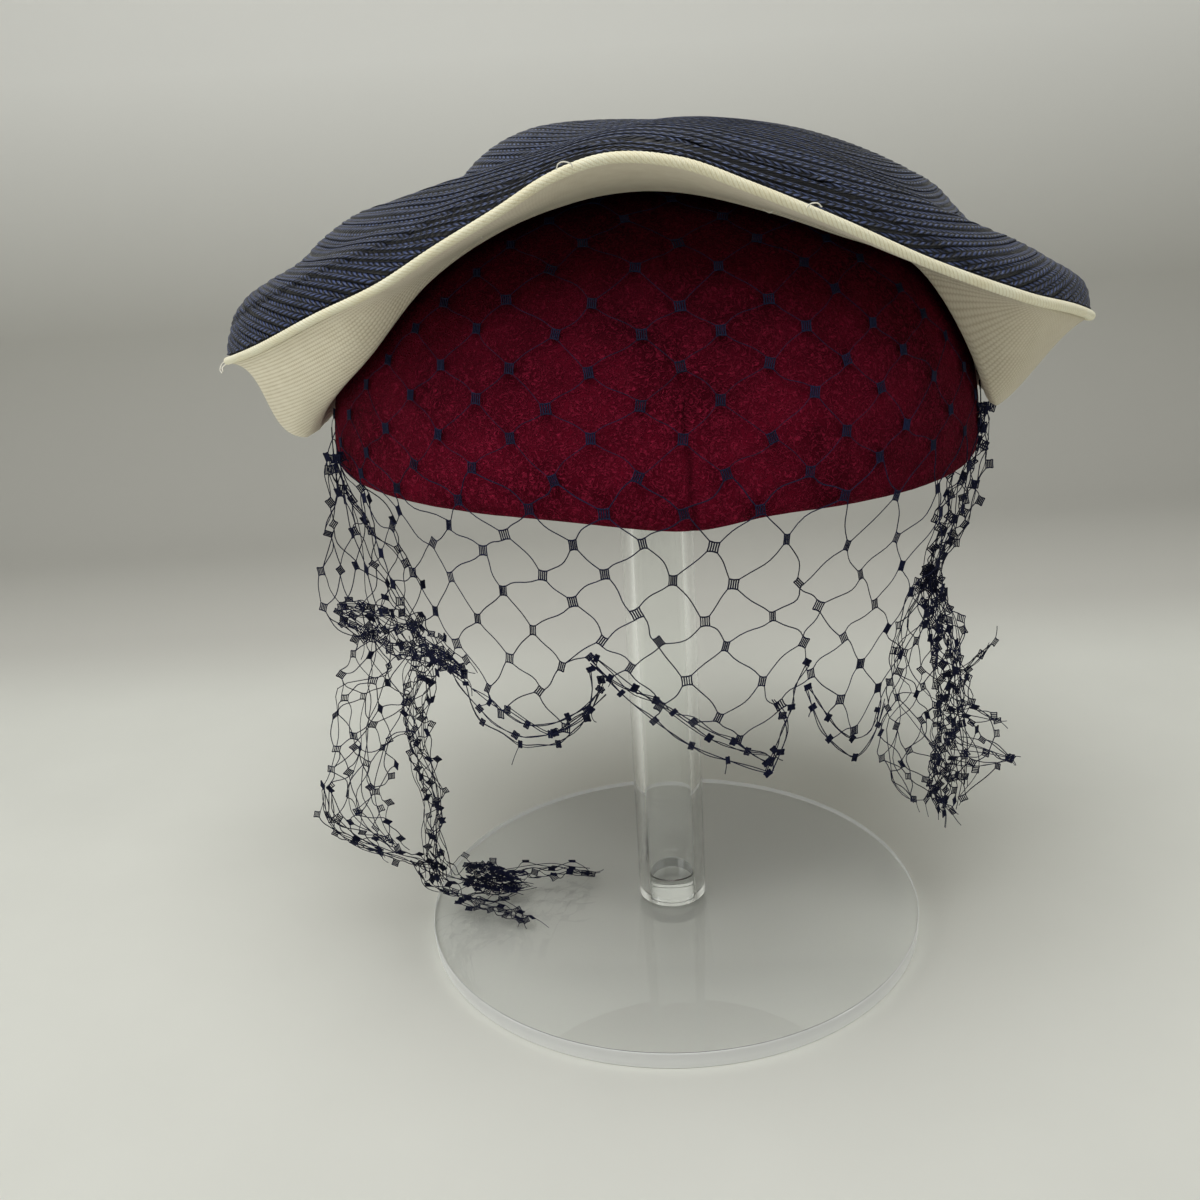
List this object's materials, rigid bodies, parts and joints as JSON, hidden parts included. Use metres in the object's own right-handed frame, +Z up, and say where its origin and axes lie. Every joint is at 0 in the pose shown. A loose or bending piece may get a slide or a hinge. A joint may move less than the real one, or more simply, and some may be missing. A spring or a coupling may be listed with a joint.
{
  "type": "fascinator hat with face veil on a display stand",
  "caption": "Small sewn-straw hat with an arched bound edge, flared fabric underbrim and coarse net face veil gathered at both sides, on a clear post stand with a padded velour dome",
  "frame": {"origin": "centre of the base disc's underside, where the stand rests", "axes": "+Z is up along the post, -Y is the front where the veil hangs, +X is the wearer's left, along the hat's width"},
  "size_m": [0.2422, 0.1924, 0.2448],
  "materials": {
    "clear_acrylic": "polished, clear",
    "velour": "crushed pile",
    "straw": "dyed straw braid with a low sheen",
    "cotton": "matt plain weave",
    "net": "matt knotted thread"
  },
  "bodies": {
    "root": {"base_disc": "clear_acrylic", "post_tube": "clear_acrylic", "post_plug": "clear_acrylic", "velour_pad": "velour", "straw_body": "straw", "brim_facing": "cotton", "edge_binding": "cotton", "veil_front": "net", "veil_left": "net", "veil_right": "net"}
  },
  "joints": []
}
